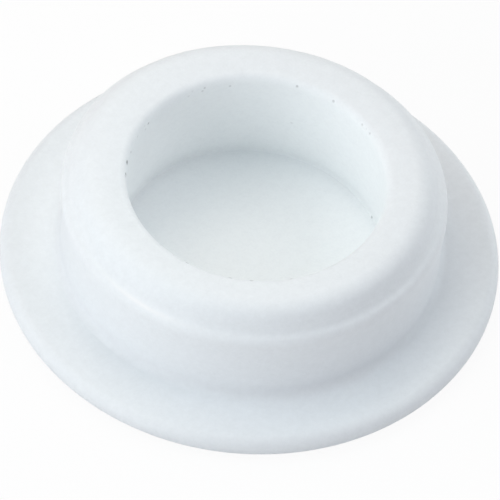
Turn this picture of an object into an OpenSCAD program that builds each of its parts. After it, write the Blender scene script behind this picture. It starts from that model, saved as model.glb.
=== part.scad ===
// Desk grommet: a flanged liner that lines a round hole in a desk top, and the
// soft closing plug that sits in it. Both are turned shapes about the Z axis.
// The face that shows on the desk is at Z = 0, and +Z points into the hole.

/* [Desk hole] */
// Diameter of the hole that the grommet is made for
hole_d = 60; // [54:1:80]
// Gap between the neck of the liner and the hole, on the radius
hole_gap = 0.4; // [0.25:0.05:0.6]

/* [Flange] */
// How far the flange reaches past the neck
flange_reach = 9.4; // [6:0.1:20]
// Thickness of the flange
flange_t = 3.7; // [3:0.1:6]
// Rounding of the flange's edge on its back and on its face
edge_round = 1.8; // [0.3:0.1:1.8]
// Height of the straight band that the two rounds of the edge leave at least
edge_land = 0.1; // [0.1:0.1:0.6]

/* [Sleeve] */
// Height above the face at which the lip is widest
lip_z = 15.4; // [10:0.1:20]
// Wall of the sleeve
sleeve_wall = 1.5; // [1.2:0.1:3]
// Fillet where the neck meets the flange
foot_fillet = 1.3; // [0.2:0.1:2]
// How far the lip stands out past the neck
lip_proud = 0.25; // [0.05:0.05:0.25]
// Radius of the lip's bead
lip_round = 1.9; // [0.5:0.1:2.5]
// Slope at which the bead runs out into the flare, in degrees
lip_slope = 35; // [22:1:45]
// Radius of the flare between the bead and the rim's flank
flare_round = 2.2; // [1:0.1:4]

/* [Seat] */
// Thickness of the inward lip that the plug sits on
seat_t = 1; // [0.8:0.1:1.2]
// Width of the inward lip
seat_w = 6; // [3:0.5:8]

/* [Plug] */
// Gap between the plug and the liner, on the radius
plug_gap = 0.08; // [0.03:0.01:0.1]
// Distance from the outside of the plug in to the rim's crest
rim_in = 3.4; // [2.8:0.1:5]
// Radius of the rim's outer shoulder
shoulder_round = 3.3; // [1:0.1:4]
// Slope of the straight flank between the shoulder and the flare, in degrees
flank_slope = 60; // [46:1:65]
// Diameter of the hollow at its mouth
mouth_d = 39.9; // [30:0.1:42]
// How much the crown falls from the crest to the mouth
mouth_drop = 0.6; // [0.3:0.1:1.5]
// Rounding of the mouth's edge
mouth_round = 1.4; // [0.3:0.1:2]
// How much wider the hollow is at its floor, on the radius
floor_flare = 0.95; // [0:0.05:1.2]
// Thickness of the floor of the hollow
floor_t = 1.9; // [1.6:0.1:4]
// Fillet round the floor of the hollow
floor_fillet = 0.5; // [0.2:0.1:1.5]

/* [Hidden] */
$fn = 180;

// Radii of the liner
neck_r = hole_d / 2 - hole_gap;
flange_r = neck_r + flange_reach;
edge_r = min(edge_round, (flange_t - edge_land) / 2);
lip_r = neck_r + lip_proud;
bore_r = neck_r - sleeve_wall;
seat_r = bore_r - seat_w;

// Radii of the plug
plug_r = bore_r - plug_gap;
spigot_r = seat_r - plug_gap;
crest_r = plug_r - rim_in;
mouth_r = mouth_d / 2;
floor_r = mouth_r + floor_flare;

// Outline of the boss from the lip in: the lip's bead, a concave flare, a straight
// flank, a convex shoulder, the crest, and a crown that falls to the mouth. Each
// runs smoothly into the next, so their widths and heights add up.
bead_w = lip_round * (1 - sin(lip_slope));
bead_h = lip_round * cos(lip_slope);
flare_w = flare_round * (sin(flank_slope) - sin(lip_slope));
flare_h = flare_round * (cos(lip_slope) - cos(flank_slope));
shoulder_w = shoulder_round * sin(flank_slope);
shoulder_h = shoulder_round * (1 - cos(flank_slope));
flank_w = lip_r - crest_r - bead_w - flare_w - shoulder_w;
flank_h = flank_w * tan(flank_slope);
rim_z = lip_z + bead_h + flare_h + flank_h + shoulder_h;
crown_w = crest_r - mouth_r;
crown_round = (crown_w * crown_w + mouth_drop * mouth_drop) / (2 * mouth_drop);
crown_turn = asin((crown_w - mouth_round) / (crown_round - mouth_round));

// Points of that outline, and the centres of its rounds
bead_c = [lip_r - lip_round, lip_z];
bead_top = [lip_r - bead_w, lip_z + bead_h];
flare_c = bead_top + flare_round * [sin(lip_slope), cos(lip_slope)];
flank_foot = bead_top + [-flare_w, flare_h];
flank_top = flank_foot + [-flank_w, flank_h];
shoulder_c = [crest_r, rim_z - shoulder_round];
crown_c = [crest_r, rim_z - crown_round];
mouth_c = crown_c + (crown_round - mouth_round) * [-sin(crown_turn), cos(crown_turn)];
crown_end = crown_c + crown_round * [-sin(crown_turn), cos(crown_turn)];

// How far a cut runs out past the crest
overcut = 1;
// How much larger the flare, the shoulder and the mouth's edge are drawn than the
// rounds that would just touch their neighbours, so that they cross them instead
// and leave no hair-thin face between
blend = 0.002;

// The sliver between a square corner at the origin and the round of radius r
// inside it. It is cut from an outer corner and added to an inner one.
module sliver(r) {
    difference() {
        square(r);
        translate([r, r]) circle(r);
    }
}

// Half section of the boss from the lip up, liner and plug together, with X as
// the radius and Y as the height
module boss_top_section() {
    translate(bead_c) circle(lip_round);
    difference() {
        polygon([
            [0, lip_z],
            bead_c,
            bead_top,
            flare_c,
            flank_foot,
            flank_top,
            shoulder_c,
            [crest_r, mouth_c.y],
            [0, mouth_c.y]
        ]);
        translate(flare_c) circle(flare_round + blend);
    }
    translate(shoulder_c) circle(shoulder_round + blend);
    intersection() {
        translate(crown_c) circle(crown_round);
        translate([crown_end.x, mouth_c.y]) square([crest_r - crown_end.x, rim_z - mouth_c.y]);
    }
    translate(mouth_c) circle(mouth_round + blend);
}

// Half section of the liner
module liner_section() {
    difference() {
        union() {
            square([flange_r, flange_t]);
            square([neck_r, lip_z]);
            translate([neck_r, flange_t]) sliver(foot_fillet);
            boss_top_section();
        }
        square([seat_r, seat_t]);
        translate([0, seat_t]) square([bore_r, rim_z]);
        translate([flange_r, flange_t]) rotate(180) sliver(edge_r);
        translate([flange_r, 0]) rotate(90) sliver(edge_r);
    }
}

// Half section of the plug
module plug_section() {
    difference() {
        union() {
            square([spigot_r, seat_t]);
            translate([0, seat_t]) square([plug_r, lip_z - seat_t]);
            intersection() {
                boss_top_section();
                square([plug_r, rim_z + overcut]);
            }
        }
        hollow_section();
    }
}

// Half section of the hollow, a little wider at its floor than at its mouth
module hollow_section() {
    difference() {
        polygon([
            [0, floor_t],
            [floor_r, floor_t],
            [mouth_r, mouth_c.y],
            [mouth_r, rim_z + overcut],
            [0, rim_z + overcut]
        ]);
        translate([floor_r, floor_t]) rotate(90) sliver(floor_fillet);
    }
}

// Flange, sleeve and the inward lip at the face: one rigid moulding
module liner() {
    color([0.93, 0.95, 0.96]) rotate_extrude() liner_section();
}

// The closing plug: a thick soft cup that drops into the liner on its seat
module plug() {
    color([0.90, 0.92, 0.94]) rotate_extrude() plug_section();
}

liner();
plug();
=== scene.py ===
# %% [markdown]
# # Desk grommet: a liner and its closing plug
#
# A desk grommet lines the round hole that cables pass through. This one is plain: a rigid
# white liner with a flange and a short sleeve, and a soft white plug that closes it. It lies
# face down here, so the side that goes into the desk looks up.
#
# Both parts are turned shapes. They could be made by spinning a curve with a Screw modifier,
# but then nothing small could differ round the axis. Each is made here as rings of points
# that a formula may nudge, so that edges can be nicked and faces can wander a little, as
# they do on a real moulding.

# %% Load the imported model
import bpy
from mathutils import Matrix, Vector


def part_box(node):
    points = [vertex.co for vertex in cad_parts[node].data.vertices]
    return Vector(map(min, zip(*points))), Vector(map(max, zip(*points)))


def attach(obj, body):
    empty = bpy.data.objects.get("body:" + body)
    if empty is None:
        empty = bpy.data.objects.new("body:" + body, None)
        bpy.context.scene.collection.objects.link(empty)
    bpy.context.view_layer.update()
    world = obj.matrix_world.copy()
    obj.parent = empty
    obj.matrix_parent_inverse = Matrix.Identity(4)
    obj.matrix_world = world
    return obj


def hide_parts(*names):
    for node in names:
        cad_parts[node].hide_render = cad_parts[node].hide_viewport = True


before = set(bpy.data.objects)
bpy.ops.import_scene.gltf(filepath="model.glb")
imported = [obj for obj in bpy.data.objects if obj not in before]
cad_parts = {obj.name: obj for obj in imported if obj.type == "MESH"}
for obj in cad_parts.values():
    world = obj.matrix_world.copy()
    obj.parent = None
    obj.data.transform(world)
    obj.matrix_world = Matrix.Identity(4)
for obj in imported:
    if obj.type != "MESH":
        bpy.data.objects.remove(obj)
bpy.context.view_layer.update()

# %% Tools of this lesson
import math

import bpy
from mathutils import Matrix, Vector, noise

# One millimetre in metres, and a number that counts as nothing
MM = 0.001
TINY = 1e-6
print("Blender", bpy.app.version_string)

# %% [markdown]
# ## Sizes
#
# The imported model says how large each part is, so the outermost sizes are read from it.
# The sizes inside are not in its boxes. They could be measured on its meshes, but a maker
# thinks in walls, gaps and reaches. So those are named here, each once and in millimetres,
# and the radii follow from them. The face that shows on the desk is at height 0, and the
# sleeve points up. A name ends in _r for a radius from the axis, _z for a height above the
# face, _t for a thickness, and _w or _h for how wide or high a stretch of the section is.

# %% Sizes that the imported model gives
liner_top_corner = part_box("liner")[1]
plug_top_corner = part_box("plug")[1]
flange_r = liner_top_corner.x / MM
plug_r = plug_top_corner.x / MM
rim_z = plug_top_corner.z / MM
print(f"flange radius {flange_r:.2f}, plug radius {plug_r:.2f}, height {rim_z:.2f} mm")

# %% Sizes of the liner
flange_reach = 9.4
flange_t = 3.7
edge_round = 1.8
foot_fillet = 1.3
sleeve_wall = 1.5
seat_w = 6.0
seat_t = 1.0
lip_proud = 0.25
lip_z = 15.4
lip_round = 1.9
lip_slope = math.radians(35)
flare_round = 2.2
flank_slope = math.radians(60)

neck_r = flange_r - flange_reach
bore_r = neck_r - sleeve_wall
seat_r = bore_r - seat_w
lip_r = neck_r + lip_proud
print(f"neck radius {neck_r:.2f}, bore radius {bore_r:.2f}, lip radius {lip_r:.2f} mm")

# %% Sizes of the plug
spigot_gap = 0.08
rim_in = 3.4
shoulder_round = 3.3
mouth_r = 19.95
mouth_drop = 0.6
mouth_round = 1.4
floor_flare = 0.95
floor_z = 1.9
floor_fillet = 0.2

spigot_r = seat_r - spigot_gap
crest_r = plug_r - rim_in
floor_r = mouth_r + floor_flare
print(f"spigot radius {spigot_r:.2f}, crest radius {crest_r:.2f}, floor radius {floor_r:.2f} mm")

# %% [markdown]
# ## An outline from its corners
#
# A moulding's section is straight stretches that are rounded into each other. A Bevel
# modifier could round them, but each edge would need a weight of its own. So each outline
# is written as corners, every one with its own radius in mm, and a function works out the
# arcs. A bend with a large radius, such as the rim's shoulder, is a corner as well.

# %% Round the corners of an outline
TURN_STEP = math.radians(6)


def rounded_corner(before, corner, after, radius):
    """The points of the arc that replaces one corner of an outline."""
    here = Vector(corner)
    arriving = (here - Vector(before)).normalized()
    leaving = (Vector(after) - here).normalized()
    turn = arriving.angle_signed(leaving, 0.0)
    if radius == 0 or abs(turn) < TINY:
        return [here]
    reach = radius * math.tan(abs(turn) / 2)
    start = here - arriving * reach
    side = -math.copysign(1, turn)
    across = Vector((-arriving.y, arriving.x)) * side
    centre = start + across * radius
    steps = max(2, math.ceil(abs(turn) / TURN_STEP))
    arc = []
    for step in range(steps + 1):
        part = side * abs(turn) * step / steps
        arc.append(centre + Matrix.Rotation(part, 2) @ (start - centre))
    return arc


# %% Add rings along the straight stretches
STRAIGHT_STEP = 0.7


def filled(points):
    """The same outline with extra points, so that no stretch is longer than STRAIGHT_STEP."""
    full = [points[0]]
    for start, end in zip(points, points[1:]):
        pieces = max(1, math.ceil((end - start).length / STRAIGHT_STEP))
        for part in range(1, pieces + 1):
            full.append(start.lerp(end, part / pieces))
    return full


def outline(corners, closed):
    """Corners are (radius from the axis, height, rounding). Returns the outline's points."""
    points = []
    count = len(corners)
    for index, (r, z, radius) in enumerate(corners):
        before = corners[index - 1][:2]
        after = corners[(index + 1) % count][:2]
        is_end = not closed and index in (0, count - 1)
        points.extend([Vector((r, z))] if is_end else rounded_corner(before, (r, z), after, radius))
    if closed:
        points.append(points[0].copy())
    return filled(points)


# %% [markdown]
# ## From an outline to a mesh
#
# The outline is turned about the axis in 440 steps. Each point may be nudged by a function
# of its place, and carries marks from 0 to 1 that the finish reads later: how deep it lies in
# a crease, where shade is painted, together with the mouth's line where dust settles; where a
# highlight is painted on the lip; where shade is painted on the flange's lower edge; and how
# far it is inside the hollow, which is painted paler as painted light. Marks could be painted
# by hand as vertex colours, but a formula keeps them in place when a size changes.

# %% Turn an outline into a mesh
TURNS = 440
MARKS = ("shade_and_dust", "lip_highlight", "edge_shade", "inside")


def turned(name, points, closed, nudge, marks):
    """A mesh object from an outline. nudge gives (out, up) in mm, marks gives one value per mark."""
    body = [p for p in points if p.x > TINY]
    if closed:
        body = body[:-1]
    vertices, marked = [], []
    for p in body:
        for turn in range(TURNS):
            angle = math.tau * turn / TURNS
            out, up = nudge(p.x, p.y, angle)
            r, z = p.x + out, p.y + up
            vertices.append((r * math.cos(angle) * MM, r * math.sin(angle) * MM, z * MM))
            marked.append(marks(p.x, p.y, angle))
    rings = len(body)
    faces = []
    for ring in range(rings if closed else rings - 1):
        low, high = ring * TURNS, (ring + 1) % rings * TURNS
        for turn in range(TURNS):
            beside = (turn + 1) % TURNS
            faces.append((low + turn, low + beside, high + beside, high + turn))
    if not closed:
        for ring, z in ((0, points[0].y), (rings - 1, points[-1].y)):
            pole = len(vertices)
            vertices.append((0, 0, z * MM))
            marked.append(marks(0.0, z, 0.0))
            for turn in range(TURNS):
                pair = (ring * TURNS + turn, ring * TURNS + (turn + 1) % TURNS)
                faces.append((pole, *(reversed(pair) if ring == 0 else pair)))
    mesh = bpy.data.meshes.new(name)
    mesh.from_pydata(vertices, [], faces)
    for key, values in zip(MARKS, zip(*marked)):
        mesh.attributes.new(key, "FLOAT", "POINT").data.foreach_set("value", values)
    mesh.shade_smooth()
    piece = bpy.data.objects.new(name, mesh)
    bpy.context.scene.collection.objects.link(piece)
    print(f"{name}: {rings} rings, {len(faces)} faces")
    return piece


# %% [markdown]
# ## How much a moulding wanders
#
# Plastic shrinks unevenly, so a real flange is a few hundredths of a millimetre out of
# round and its top is not quite flat. A Displace modifier could do that, but it has one rule
# for the whole mesh. A function of the place can treat the flange, the lip and the mouth
# each in its own way. Its smooth noise runs round the axis, and only ever takes material
# away. What adds is the rim's bulge: the rim stands out a little at the back, as one may
# that was pulled from its mould while still warm, and the sleeve round it follows.

# %% Noise that closes up round the axis
# Noise seldom comes near its ends, so it is stretched by this much and cut off there
NOISE_STRETCH = 1.6


def around(angle, waves, seed):
    """Smooth noise from 0 to 1 with about that many waves in one turn."""
    spot = Vector((math.cos(angle) * waves, math.sin(angle) * waves, seed))
    return 0.5 + 0.5 * max(-1.0, min(1.0, noise.noise(spot / math.pi) * NOISE_STRETCH))


# %% How near a point lies to something
def eased(share):
    """A share that is cut off at 0 and 1 and runs smoothly between them."""
    share = max(0.0, min(1.0, share))
    return share * share * (3 - 2 * share)


def closeness(r, z, centre, width):
    """1 at a point of the section, falling smoothly to 0 over about twice the width."""
    away = math.hypot(r - centre[0], z - centre[1]) / width
    return math.exp(-away * away)


def turn_between(angle, bearing):
    """The angle from a bearing in degrees, in radians, from -pi to pi."""
    return (angle - math.radians(bearing) + math.pi) % math.tau - math.pi


def near_bearing(angle, bearing, half_width):
    """1 at a bearing, falling smoothly to 0 over about twice the half width, both in degrees."""
    along = turn_between(angle, bearing) / math.radians(half_width)
    return math.exp(-along * along)


# %% The bulge of the rim
# Bearing and half width in degrees, and how far it stands out in mm
bulges = [
    (137, 33, 1.0),
    (50, 27, 0.4),
]
# It grows from nothing to full between these heights and between these radii
BULGE_FROM_Z = 9
BULGE_FULL_Z = 15
BULGE_FROM_R = 22
BULGE_FULL_R = 25


def bulge(r, z, angle):
    """How far a point moves out. The flange, the neck's foot and the mouth stay put."""
    total = 0.0
    for bearing, half_width, amount in bulges:
        total += amount * near_bearing(angle, bearing, half_width)
    high_up = eased((z - BULGE_FROM_Z) / (BULGE_FULL_Z - BULGE_FROM_Z))
    far_out = eased((r - BULGE_FROM_R) / (BULGE_FULL_R - BULGE_FROM_R))
    return total * high_up * far_out


print("bulges", [f"{amount} mm at {bearing} degrees" for bearing, _, amount in bulges])

# %% [markdown]
# ## The liner
#
# The liner is one rigid moulding: a flange that covers the hole's edge, a neck that fits the
# hole, a rounded lip at the top, and a narrow inward lip at the face that the plug sits on.
# Above the lip its outside goes on as a flare and a slope, which the plug continues. Discs and
# tubes could be joined with booleans, but they would leave sharp edges to round afterwards.
# One outline that runs round the section and closes on itself has its roundings from the
# start.

# %% The slope that liner and plug share
lip_top = (
    lip_r - lip_round * (1 - math.sin(lip_slope)),
    lip_z + lip_round * math.cos(lip_slope),
)
flare_w = flare_round * (math.sin(flank_slope) - math.sin(lip_slope))
flare_h = flare_round * (math.cos(lip_slope) - math.cos(flank_slope))
flank_foot = (lip_top[0] - flare_w, lip_top[1] + flare_h)


def slope_z(r):
    """Height of the straight slope at a radius."""
    return flank_foot[1] + (flank_foot[0] - r) * math.tan(flank_slope)


print(f"slope meets the flare at radius {flank_foot[0]:.2f}, height {flank_foot[1]:.2f} mm")

# %% Corners of the liner
# A long gentle swell leads the neck out to the lip
swell_z = 12.5
swell_round = 20
lip_foot_drop = 0.5
lip_foot_round = 1
lip_corner_z = lip_z + lip_round * math.tan((math.pi / 2 - lip_slope) / 2)
flare_reach = flare_round * math.tan((flank_slope - lip_slope) / 2)
flare_corner_r = flank_foot[0] + flare_reach * math.cos(flank_slope)
# An arc that is a touch tighter than its bend leaves room for the next one
lip_arc = lip_round * 0.98
# Edges that are only broken: at the face, on the seat and at the seam
face_round = 0.15
seat_round = 0.1
seam_round = 0.012
liner_corners = [
    (seat_r, 0, face_round),
    (flange_r, 0, edge_round),
    (flange_r, flange_t, edge_round),
    (neck_r, flange_t, foot_fillet),
    (neck_r, swell_z, swell_round),
    (lip_r, lip_z - lip_foot_drop, lip_foot_round),
    (lip_r, lip_corner_z, lip_arc),
    (flare_corner_r, slope_z(flare_corner_r), flare_round),
    (bore_r, slope_z(bore_r), seam_round),
    (bore_r, seat_t, seat_round),
    (seat_r, seat_t, seat_round),
]
print(f"the liner's outline has {len(liner_corners)} corners")

# %% Nudges of the liner
# How far the outside is out of round, the lip is ragged and the flange sags, in mm
OUT_OF_ROUND = 0.04
RAGGED = 0.03
SAG = 0.05
lip_edge = (lip_r, lip_z)


def liner_nudge(r, z, angle):
    """The bulge, an outside that is not quite round, a ragged lip, and a flange that sags."""
    off_the_bore = min(1.0, max(0.0, (r - bore_r) / sleeve_wall))
    over_the_desk = max(0.0, (r - neck_r) / flange_reach)
    unround = OUT_OF_ROUND * around(angle, waves=3, seed=1.0) * off_the_bore
    ragged = RAGGED * around(angle, waves=90, seed=3.0) * closeness(r, z, lip_edge, width=0.5)
    sag = SAG * around(angle, waves=5, seed=2.0) * min(1.0, z / flange_t) * over_the_desk
    return bulge(r, z, angle) - unround - ragged, -sag


# %% Marks of the liner
# Points of the section, as radius and height: the neck's foot, and the edge at the face
foot = (neck_r, flange_t)
face_edge = (flange_r, 0.3)
# Where a highlight is painted on the lip: bearing and half width in degrees
HIGHLIGHT_AT = 237
HIGHLIGHT_ALONG = 11


def liner_marks(r, z, angle):
    """Painted shade in the foot of the neck, a painted highlight on a stretch of lip, and painted
    shade on the flange's lower edge.
    """
    # Painted shade: the foot of the neck is darkened where shade falls in the crease
    shade_and_dust = closeness(r, z, foot, width=1.8)
    # Painted highlight: a stretch of the lip's top is made paler where light catches it
    lip_highlight = near_bearing(angle, HIGHLIGHT_AT, HIGHLIGHT_ALONG) * closeness(r, z, lip_top, width=0.35)
    # Painted shade: the flange's edge at the face is darkened where shade falls under it
    edge_shade = closeness(r, z, face_edge, width=1.5)
    return shade_and_dust, lip_highlight, edge_shade, 0.0


# %% Make the liner
liner = turned("liner_moulding", outline(liner_corners, True), True, liner_nudge, liner_marks)
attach(liner, "liner_body")
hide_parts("liner")

# %% [markdown]
# ## The plug
#
# The plug is a thick soft cup. From below, its flat face fills the liner's face. From above,
# its rim rises out of the liner with a wide round shoulder, dips a little and rounds over
# into the mouth. The mould's core left a fine line there that holds dust, and two small
# nicks. The hollow widens slightly towards its floor. The nicks could be cut with booleans,
# but nudging the mouth's points keeps the mesh in clean rings.

# %% Corners of the plug
# The soft wall squeezes against the liner, so hardly any gap shows at the seam
seam_gap = 0.006
plug_visible_r = bore_r - seam_gap
plug_foot_round = 0.2
shoulder_corner_r = crest_r + shoulder_round * math.tan(flank_slope / 2)
crown_w = crest_r - mouth_r
crown_round = (crown_w**2 + mouth_drop**2) / (2 * mouth_drop)
crown_angle = math.asin((crown_w - mouth_round) / (crown_round - mouth_round))
crown_corner_r = crest_r - crown_round * math.tan(crown_angle / 2)
# As at the lip, a tighter arc leaves room for the next one
crown_arc = crown_round * 0.94
mouth_corner_z = rim_z - (crown_corner_r - mouth_r) * math.tan(crown_angle)
plug_corners = [
    (0, 0, 0),
    (spigot_r, 0, face_round),
    (spigot_r, seat_t, 0),
    (plug_visible_r, seat_t, plug_foot_round),
    (plug_visible_r, slope_z(plug_visible_r), seam_round),
    (shoulder_corner_r, rim_z, shoulder_round),
    (crown_corner_r, rim_z, crown_arc),
    (mouth_r, mouth_corner_z, mouth_round),
    (floor_r, floor_z, floor_fillet),
    (0, floor_z, 0),
]
print(f"the plug's outline has {len(plug_corners)} corners")

# %% The two nicks in the mouth's edge
# Bearing in degrees, half width along the edge in mm, and depth in mm
nicks = [
    (177, 0.35, 0.16),
    (184, 0.30, 0.10),
]
mouth_centre_r = mouth_r + mouth_round
mouth_centre_z = rim_z - crown_round + (crown_round - mouth_round) * math.cos(crown_angle)
# They lie a little above the height at which the mouth begins to round over
nick_rise = 0.3
nick_line = (mouth_r, mouth_centre_z + nick_rise)


def nick_depth(angle):
    """Depth in mm of the nick at a bearing, 0 where there is none."""
    depth = 0.0
    for bearing, half_width, full_depth in nicks:
        along = turn_between(angle, bearing) * mouth_r / half_width
        depth += full_depth * math.exp(-along * along)
    return depth


print(f"nicks at height {nick_line[1]:.2f} mm, {[bearing for bearing, _, _ in nicks]} degrees")

# %% Nudges of the plug
# How far the rim dips and the mouth's edge is uneven, in mm
DIP = 0.05
UNEVEN = 0.04


def plug_nudge(r, z, angle):
    """The bulge, an uneven mouth with its nicks, and a rim that dips."""
    near_top = (z / rim_z) ** 4
    near_mouth = closeness(r, z, nick_line, width=0.35)
    dip = DIP * around(angle, waves=4, seed=5.0) * near_top
    uneven = UNEVEN * around(angle, waves=60, seed=6.0) * near_mouth
    return bulge(r, z, angle) + uneven + nick_depth(angle) * near_mouth, -dip


# %% Marks of the plug
floor_crease = (floor_r, floor_z)
# The line that the core left, part of the way up the mouth's rounding
flash_turn = math.radians(40.5)
flash_line = (
    mouth_centre_r - mouth_round * math.cos(flash_turn),
    mouth_centre_z + mouth_round * math.sin(flash_turn),
)
# Where it shows: bearing and half width in degrees
FLASH_AT = 245
FLASH_ALONG = 40


def plug_marks(r, z, angle):
    """Painted shade round the floor, dust in a line at the mouth, and how far a point is inside."""
    is_in_hollow = r < crown_corner_r and z > floor_z - TINY
    inside = eased((rim_z - z) / (rim_z - mouth_centre_z)) if is_in_hollow else 0.0
    # Painted shade: the corner round the hollow's floor is darkened where shade falls
    shade_and_dust = closeness(r, z, floor_crease, width=1.8)
    # Real dust in the core's line at the mouth goes into the same mark
    shade_and_dust += near_bearing(angle, FLASH_AT, FLASH_ALONG) * closeness(r, z, flash_line, width=0.2)
    return shade_and_dust, 0.0, 0.0, inside


# %% Make the plug
plug = turned("plug_moulding", outline(plug_corners, False), False, plug_nudge, plug_marks)
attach(plug, "plug_body")
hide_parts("plug")

# %% [markdown]
# ## Shader sums as Python
#
# A finish is mostly sums on textures. The nodes could be placed and linked by hand, but a
# sum is easier to read as a sum. This small class wraps one output of the node tree, so
# that an expression such as `1 - mask * 0.5` adds the Math nodes by itself. Every other
# node comes from one method, which sets its settings first and then its sockets.

# %% A socket that can be used in a sum
class Term:
    """One output of a material's node tree, for use in Python expressions."""

    def __init__(self, finish, socket):
        self.finish = finish
        self.socket = socket

    def sum_node(self, operation, left, right):
        return self.finish.node("ShaderNodeMath", {"operation": operation}, {0: left, 1: right})

    def __add__(self, other):
        return self.sum_node("ADD", self, other)

    def __sub__(self, other):
        return self.sum_node("SUBTRACT", self, other)

    def __rsub__(self, other):
        return self.sum_node("SUBTRACT", other, self)

    def __mul__(self, other):
        return self.sum_node("MULTIPLY", self, other)

    __radd__ = __add__
    __rmul__ = __mul__


# %% A finish: one material and its nodes
# A Mix node has sockets for each kind of data. These are its colour ones
MIX_FIRST = 6
MIX_SECOND = 7
MIX_RESULT = 2


class Finish:
    """A material that is built node by node."""

    def __init__(self, name):
        self.material = bpy.data.materials.new(name)
        self.material.use_nodes = True
        self.tree = self.material.node_tree
        self.tree.nodes.clear()
        self.end = self.tree.nodes.new("ShaderNodeOutputMaterial")

    def node(self, kind, settings=None, sockets=None, output=0):
        """Adds a node. A socket takes a Term as a link and anything else as its value."""
        made = self.tree.nodes.new(kind)
        for key, value in (settings or {}).items():
            setattr(made, key, value)
        for key, value in (sockets or {}).items():
            if isinstance(value, Term):
                self.tree.links.new(value.socket, made.inputs[key])
            else:
                made.inputs[key].default_value = value
        return Term(self, made.outputs[output])

    def mixed(self, share, first, second):
        """A colour that goes from the first to the second as share goes from 0 to 1."""
        sockets = {0: share, MIX_FIRST: first, MIX_SECOND: second}
        return self.node("ShaderNodeMix", {"data_type": "RGBA"}, sockets, MIX_RESULT)

    def surface(self, shader):
        """Ends the tree with a shader, and gives the finished material."""
        self.tree.links.new(shader.socket, self.end.inputs["Surface"])
        print(f"{self.material.name}: {len(self.tree.nodes)} nodes")
        return self.material


# %% [markdown]
# ## Specks of dirt
#
# Where the mould's core pulled out of the mouth it left small pits, and dirt has settled in
# them. They could be modelled, but most are narrower than two faces of the mesh. So the
# finish paints each one: the distance from a point on the surface, turned into a soft dark
# dot.

# %% Where the specks lie
# Bearing in degrees, height and half width in mm, and how dark, from 0 to 1
specks = [
    (177, 19.45, 0.46, 1.00),
    (184, 19.50, 0.38, 0.90),
    (186, 19.90, 0.20, 0.25),
    (170, 19.15, 0.26, 0.45),
    (168, 18.40, 0.24, 0.28),
    (161, 19.40, 0.24, 0.14),
    (151, 19.05, 0.26, 0.42),
    (153, 18.30, 0.22, 0.22),
    (154, 19.45, 0.20, 0.16),
    (126, 18.85, 0.28, 0.12),
    (124, 19.65, 0.22, 0.10),
    (118, 19.45, 0.24, 0.28),
    (119, 18.90, 0.26, 0.22),
    (106, 18.70, 0.24, 0.24),
    (77, 10.60, 0.26, 0.12),
    (76, 19.85, 0.26, 0.34),
    (58, 19.95, 0.28, 0.28),
    (40, 19.90, 0.26, 0.22),
    (37, 19.95, 0.18, 0.12),
    (34, 19.95, 0.24, 0.22),
    (228, 20.02, 0.28, 0.50),
    (236, 20.07, 0.24, 0.36),
    (243, 20.12, 0.32, 0.55),
    (263, 20.16, 0.38, 0.50),
    (272, 20.16, 0.40, 0.60),
    (289, 20.16, 0.34, 0.22),
    (27, 2.05, 0.26, 0.40),
]
print(f"{len(specks)} specks")


# %% Dark dots on the wall of the hollow
# Shares of its half width up to which a speck is fully dark, and at which it has gone
SPECK_CORE = 0.3
SPECK_END = 1.3


def hollow_wall_r(z):
    """Radius of the hollow's wall at a height, with the rounded mouth above it."""
    if z > mouth_centre_z:
        return mouth_centre_r - math.sqrt(mouth_round**2 - (z - mouth_centre_z) ** 2)
    depth = (mouth_centre_z - z) / (mouth_centre_z - floor_z)
    return mouth_r + (floor_r - mouth_r) * depth


def speck_mask(finish, place):
    """The darkness of all specks at a place on the surface."""
    total = 0.0
    for bearing, z, half_width, darkness in specks:
        angle = math.radians(bearing)
        r = hollow_wall_r(z)
        centre = Vector((r * math.cos(angle), r * math.sin(angle), z)) * MM
        away = finish.node("ShaderNodeVectorMath", {"operation": "DISTANCE"}, {0: place, 1: centre}, 1)
        spot = finish.node(
            "ShaderNodeMapRange",
            {"interpolation_type": "SMOOTHSTEP"},
            {
                "Value": away,
                "From Min": half_width * SPECK_CORE * MM,
                "From Max": half_width * SPECK_END * MM,
                "To Min": darkness,
                "To Max": 0.0,
            },
        )
        total = total + spot
    return total


# %% [markdown]
# ## The white finishes
#
# Both parts are the same cool white, moulded against a fine matt steel, so there is no gloss
# but a broad sheen. Under a close look the colour clouds a little and the surface has a grain
# of about 0.4 mm. Shade is painted darker into the creases and under the flange's edge, dust
# darkens the mouth's line, and a highlight is painted paler on the lip. The soft plug is a
# little rougher than the hard liner, and it alone has specks. Its wall lets some light
# through. Subsurface scattering could show that, but on a cup this thick it looked less like
# the real plastic than a slightly paler inside does, so that light is painted into the inside.

# %% Colours of the white finishes
WHITE = (0.907, 0.940, 0.963, 1)
DEEP_SHARE = 0.90
DEEP = (*(part * DEEP_SHARE for part in WHITE[:3]), 1)
# Painted light: a paler white for the hollow's inside, standing in for light through the wall
PAINTED_LIGHT_WHITE = (0.965, 0.992, 1.0, 1)
# Grey for painted shade in the creases and under the flange's edge, and for dust in the mouth's line
SHADE_AND_DUST_GREY = (0.62, 0.65, 0.68, 1)
# A paler white for the painted highlight on the lip
HIGHLIGHT_WHITE = (0.99, 0.995, 1.0, 1)
DIRT = (0.05, 0.05, 0.06, 1)
print("deepest white", [round(part, 3) for part in DEEP[:3]])

# %% Strengths of the white finishes
# How many clouds and how many grains lie along one metre
CLOUDS = 900.0
GRAINS = 2600.0
# How much of the deepest white there is: from the clouds, from the grain, and all over
CLOUD_SHARE = 0.70
GRAIN_SHARE = 0.80
EVEN_SHARE = 0.22
# How much calmer that is inside the hollow, and how much of it is taken off there as painted light
INSIDE_CALM = 0.20
INSIDE_LIGHT_SHARE = 0.09
# How much painted shade and dust darken the colour, and how far the painted highlight takes it to pale
SHADE_AND_DUST_SHARE = 0.20
EDGE_SHADE_SHARE = 0.55
HIGHLIGHT_SHARE = 0.90
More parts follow.
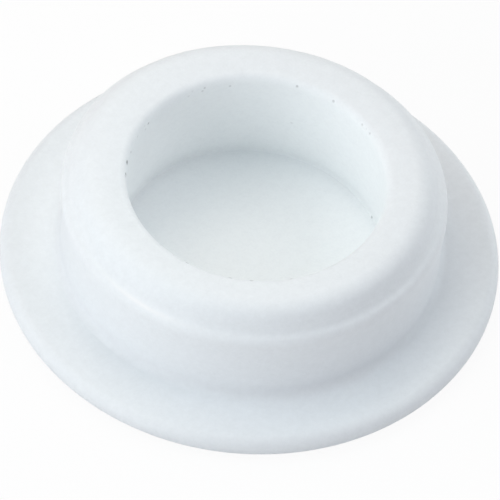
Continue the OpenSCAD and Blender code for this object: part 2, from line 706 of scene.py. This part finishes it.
# How much grain and dust change the roughness
GRAIN_ROUGHNESS = 0.10
DUST_ROUGHNESS = 0.10
BUMP_STRENGTH = 0.5
print(f"clouds of {1000 / CLOUDS:.1f} mm, grains of {1000 / GRAINS:.1f} mm")


# %% Build one white moulded finish
def white_finish(name, roughness, grain_height, has_specks):
    """The shared white, with its own roughness, height of grain in mm, and specks if any."""
    finish = Finish(name)
    place = finish.node("ShaderNodeTexCoord", output="Object")
    clouds = finish.node("ShaderNodeTexNoise", None, {"Vector": place, "Scale": CLOUDS, "Detail": 3.0})
    grain = finish.node("ShaderNodeTexNoise", None, {"Vector": place, "Scale": GRAINS, "Detail": 3.0})
    shade_and_dust, lip_highlight, edge_shade, inside = (
        finish.node("ShaderNodeAttribute", {"attribute_name": key}, output="Fac") for key in MARKS
    )

    tone = (clouds - 0.5) * CLOUD_SHARE + (grain - 0.5) * GRAIN_SHARE + EVEN_SHARE
    # Painted light: the inside of the hollow is made paler
    white = finish.mixed(inside, WHITE, PAINTED_LIGHT_WHITE)
    body = finish.mixed(tone * (1 - inside * INSIDE_CALM) - inside * INSIDE_LIGHT_SHARE, white, DEEP)
    # Painted shade in the creases and under the flange's edge, and dust in the mouth's line
    shaded_and_dusty = finish.mixed(shade_and_dust * SHADE_AND_DUST_SHARE + edge_shade * EDGE_SHADE_SHARE, body, SHADE_AND_DUST_GREY)
    # Painted highlight on a stretch of the lip
    final = finish.mixed(lip_highlight * HIGHLIGHT_SHARE, shaded_and_dusty, HIGHLIGHT_WHITE)
    if has_specks:
        final = finish.mixed(speck_mask(finish, place), final, DIRT)
    bump = finish.node(
        "ShaderNodeBump",
        None,
        {"Strength": BUMP_STRENGTH, "Distance": grain_height * MM, "Height": grain},
    )
    shader = finish.node(
        "ShaderNodeBsdfPrincipled",
        None,
        {
            "Base Color": final,
            "Roughness": roughness + (grain - 0.5) * GRAIN_ROUGHNESS + shade_and_dust * DUST_ROUGHNESS,
            "Normal": bump,
        },
    )
    return finish.surface(shader)


def dress(piece, material):
    """Gives a piece one material."""
    piece.data.materials.clear()
    piece.data.materials.append(material)


# %% Dress both parts
dress(liner, white_finish("white_liner_plastic", roughness=0.48, grain_height=0.012, has_specks=False))
dress(plug, white_finish("white_plug_elastomer", roughness=0.56, grain_height=0.014, has_specks=True))

# %% [markdown]
# ## The floor
#
# The object lies on a plain white table. More light could make it white, but that would wash
# out the object. So the camera, and any gloss or glass, sees it nearly as glowing white
# paper, with a faint shadow of the object on it. To all other light it is a plain pale
# table, which throws back only what the lamps give it.

# %% A white floor with a shadow
FLOOR_HALF = 1.2
FLOOR_Z = -0.00002
floor_corners = [
    (-FLOOR_HALF, -FLOOR_HALF, FLOOR_Z),
    (FLOOR_HALF, -FLOOR_HALF, FLOOR_Z),
    (FLOOR_HALF, FLOOR_HALF, FLOOR_Z),
    (-FLOOR_HALF, FLOOR_HALF, FLOOR_Z),
]
floor_mesh = bpy.data.meshes.new("floor")
floor_mesh.from_pydata(floor_corners, [], [(0, 1, 2, 3)])
floor = bpy.data.objects.new("floor", floor_mesh)
bpy.context.scene.collection.objects.link(floor)
print(f"floor {2 * FLOOR_HALF} m across")

# %% The finish of the floor
PAPER_SHARE = 0.92
PAPER = (1, 1, 1, 1)
TABLE_SEEN = (0.95, 0.95, 0.95, 1)
TABLE_THROWN_BACK = (0.9, 0.9, 0.9, 1)

table_finish = Finish("white_table")
camera_ray, glossy_ray, transmission_ray = (
    table_finish.node("ShaderNodeLightPath", output=key)
    for key in ("Is Camera Ray", "Is Glossy Ray", "Is Transmission Ray")
)
seen = camera_ray + glossy_ray + transmission_ray
thrown_back = table_finish.node("ShaderNodeBsdfDiffuse", None, {"Color": TABLE_THROWN_BACK})
shadowed = table_finish.node("ShaderNodeBsdfDiffuse", None, {"Color": TABLE_SEEN})
paper = table_finish.node("ShaderNodeEmission", None, {"Color": PAPER, "Strength": 1.0})
bright = table_finish.node("ShaderNodeMixShader", None, {0: PAPER_SHARE, 1: shadowed, 2: paper})
table = table_finish.node("ShaderNodeMixShader", None, {0: seen, 1: thrown_back, 2: bright})
dress(floor, table_finish.surface(table))

# %% [markdown]
# ## The light
#
# The light is that of a small white tent: soft from all round, and strongest low at the
# front left. One even dome could give it, but then the boss would have no shaded side. So
# seven wide suns stand round the object, and two round panels hang close over its left half.
# Each is given by its bearing, its height, its distance if it is a panel, and about how
# bright it alone would make a white card that faces it. One sun behind the object and one
# panel are a little warm, and three others a little cool, as daylight is.

# %% Lamps of the tent
PLAIN = (1.0, 1.0, 1.0)
COOL = (0.88, 1.0, 1.0)
WARM = (1.0, 0.89, 0.77)
# Bearing and height in degrees, distance in metres (0 for a sun), brightness, and colour
lamps = [
    (225, 15, 0, 0.344, PLAIN),
    (180, 40, 0, 0.152, PLAIN),
    (0, 15, 0, 0.060, PLAIN),
    (0, 40, 0, 0.190, PLAIN),
    (45, 15, 0, 0.180, COOL),
    (90, 40, 0, 0.120, WARM),
    (90, 65, 0, 0.056, COOL),
    (135, 60, 0.25, 0.149, WARM),
    (225, 60, 0.16, 0.210, COOL),
]
SUN_SPREAD = math.radians(40)
PANEL_WIDTH = 0.15


def add_lamp(bearing, height, distance, brightness, colour):
    """Adds a sun, or a round panel if there is a distance, that shines at the origin."""
    light = bpy.data.lights.new(f"tent_{bearing}_{height}", "AREA" if distance else "SUN")
    light.color = colour
    if distance:
        light.shape = "DISK"
        light.size = PANEL_WIDTH
        light.energy = brightness * (math.pi * distance) ** 2
    else:
        light.energy = brightness * math.pi
        light.angle = SUN_SPREAD
    lamp = bpy.data.objects.new(light.name, light)
    turn, up = math.radians(bearing), math.radians(height)
    level = Vector((math.cos(turn), math.sin(turn), 0))
    towards = level * math.cos(up) + Vector((0, 0, math.sin(up)))
    lamp.location = towards * distance
    lamp.rotation_euler = towards.to_track_quat("Z", "Y").to_euler()
    bpy.context.scene.collection.objects.link(lamp)


for row in lamps:
    add_lamp(*row)
print(f"{len(lamps)} lamps")

# %% The air of the tent
AIR_COLOUR = (0.81, 0.83, 1, 1)
AIR_STRENGTH = 0.175
world = bpy.data.worlds.new("tent_air")
bpy.context.scene.world = world
world.use_nodes = True
background = world.node_tree.nodes["Background"]
background.inputs["Color"].default_value = AIR_COLOUR
background.inputs["Strength"].default_value = AIR_STRENGTH
print(f"air at strength {AIR_STRENGTH}")

# %% [markdown]
# ## The camera
#
# A long lens looks down at the object from 51 degrees up, and the camera is tipped a little
# to one side. The object could be tipped in its place, but it has to stay where the packed
# model is. So the camera does the tipping: it is rolled about its own line of sight, moved
# back along it, and shifted a hair so that the object sits in the middle.

# %% Place the camera
CAMERA_UP = math.radians(50.57)
CAMERA_ROLL = math.radians(5.55)
# Across, up and back from the origin, in mm along the camera's own axes
CAMERA_ACROSS = 0.20
CAMERA_RISE = 1.61
CAMERA_BACK = 937.6
camera_data = bpy.data.cameras.new("camera")
camera_data.sensor_width = 36
camera_data.lens = 432
camera_data.clip_end = 10
camera = bpy.data.objects.new("camera", camera_data)
bpy.context.scene.collection.objects.link(camera)
tilt = Matrix.Rotation(math.pi / 2 - CAMERA_UP, 4, "X")
roll = Matrix.Rotation(CAMERA_ROLL, 4, "Z")
away = Matrix.Translation(Vector((CAMERA_ACROSS, CAMERA_RISE, CAMERA_BACK)) * MM)
camera.matrix_world = tilt @ roll @ away
bpy.context.scene.camera = camera
bpy.context.scene.view_settings.view_transform = "Standard"
print("camera at", [round(part, 3) for part in camera.matrix_world.translation])
